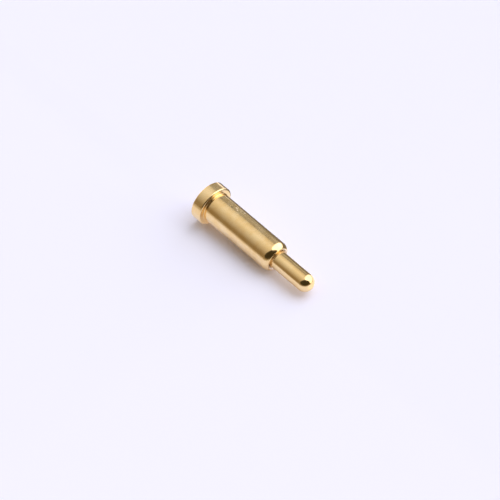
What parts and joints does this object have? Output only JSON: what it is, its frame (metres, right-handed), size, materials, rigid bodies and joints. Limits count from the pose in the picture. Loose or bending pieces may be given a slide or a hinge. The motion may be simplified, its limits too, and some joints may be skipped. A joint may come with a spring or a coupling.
{
  "type": "pogo pin",
  "caption": "Spring-loaded contact pin: a flanged barrel that is soldered to a board, with a round-tipped plunger sprung out of its rolled mouth.",
  "frame": {"origin": "centre of the flange's flat solder face", "axes": "+Z along the pin, from the solder face to the round tip; X and Y are free, because the outside is round"},
  "size_m": [0.002, 0.002, 0.007],
  "materials": {
    "barrel_plating": "bright gold plating over turned brass",
    "plunger_plating": "bright gold plating over turned brass",
    "spring_wire": "drawn stainless spring wire"
  },
  "bodies": {
    "barrel": {"barrel": "barrel_plating", "spring": "spring_wire"},
    "plunger": {"plunger": "plunger_plating"}
  },
  "joints": [
    {"name": "plunger_slide", "type": "slide", "parent": "barrel", "child": "plunger", "axis": [0, 0, -1], "range_m": [0, 0.0014], "stiffness_N_per_m": 370, "deforming": ["spring"]}
  ]
}
